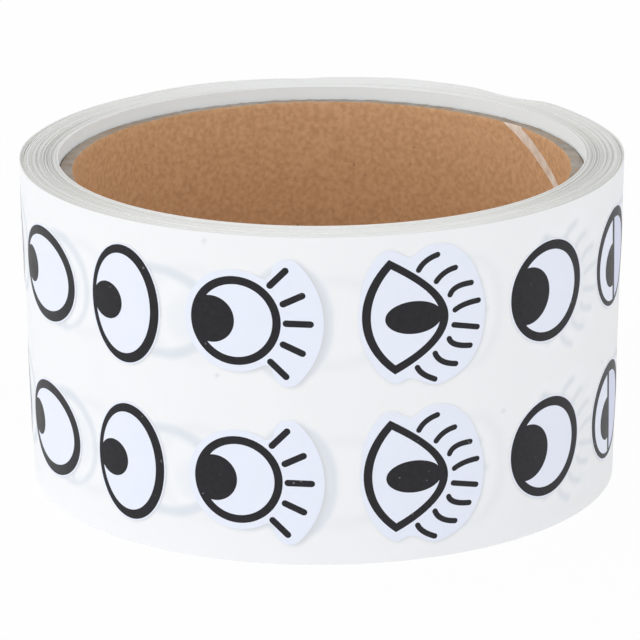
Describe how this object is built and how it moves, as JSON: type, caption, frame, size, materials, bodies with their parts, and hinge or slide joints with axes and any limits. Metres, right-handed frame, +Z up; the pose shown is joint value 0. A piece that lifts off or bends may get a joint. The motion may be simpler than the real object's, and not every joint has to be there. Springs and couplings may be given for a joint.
{
  "type": "sticker roll",
  "caption": "Roll of printed craft eye stickers: a liner web wound on a board core, standing on its end, with two rows of die-cut cartoon eyes round its outer turn.",
  "frame": {"origin": "middle of the roll's base, on the core's axis", "axes": "+Z up the core's axis; -Y is the side towards the camera; +X to its right"},
  "size_m": [0.0919, 0.092, 0.0504],
  "materials": {
    "core_board": "matte kraft",
    "liner": "silky glassine",
    "sticker_face": "satin",
    "print_ink": "satin ink"
  },
  "bodies": {
    "root": {"core": "core_board", "liner_roll": "liner", "lower_wide_sticker_1": "sticker_face", "lower_wide_sticker_2": "sticker_face", "lower_tall_sticker_1": "sticker_face", "lower_tall_sticker_2": "sticker_face", "lower_lashed_sticker_1": "sticker_face", "lower_lashed_sticker_2": "sticker_face", "lower_lashed_sticker_3": "sticker_face", "lower_leaf_sticker_1": "sticker_face", "lower_leaf_sticker_2": "sticker_face", "lower_round_sticker_1": "sticker_face", "lower_round_sticker_2": "sticker_face", "lower_sleepy_sticker_1": "sticker_face", "lower_sleepy_sticker_2": "sticker_face", "upper_wide_sticker_1": "sticker_face", "upper_wide_sticker_2": "sticker_face", "upper_tall_sticker_1": "sticker_face", "upper_tall_sticker_2": "sticker_face", "upper_lashed_sticker_1": "sticker_face", "upper_lashed_sticker_2": "sticker_face", "upper_lashed_sticker_3": "sticker_face", "upper_leaf_sticker_1": "sticker_face", "upper_leaf_sticker_2": "sticker_face", "upper_round_sticker_1": "sticker_face", "upper_round_sticker_2": "sticker_face", "upper_sleepy_sticker_1": "sticker_face", "upper_sleepy_sticker_2": "sticker_face", "lower_wide_print_1": "print_ink", "lower_wide_print_2": "print_ink", "lower_tall_print_1": "print_ink", "lower_tall_print_2": "print_ink", "lower_lashed_print_1": "print_ink", "lower_lashed_print_2": "print_ink", "lower_lashed_print_3": "print_ink", "lower_leaf_print_1": "print_ink", "lower_leaf_print_2": "print_ink", "lower_round_print_1": "print_ink", "lower_round_print_2": "print_ink", "lower_sleepy_print_1": "print_ink", "lower_sleepy_print_2": "print_ink", "upper_wide_print_1": "print_ink", "upper_wide_print_2": "print_ink", "upper_tall_print_1": "print_ink", "upper_tall_print_2": "print_ink", "upper_lashed_print_1": "print_ink", "upper_lashed_print_2": "print_ink", "upper_lashed_print_3": "print_ink", "upper_leaf_print_1": "print_ink", "upper_leaf_print_2": "print_ink", "upper_round_print_1": "print_ink", "upper_round_print_2": "print_ink", "upper_sleepy_print_1": "print_ink", "upper_sleepy_print_2": "print_ink"}
  },
  "joints": []
}
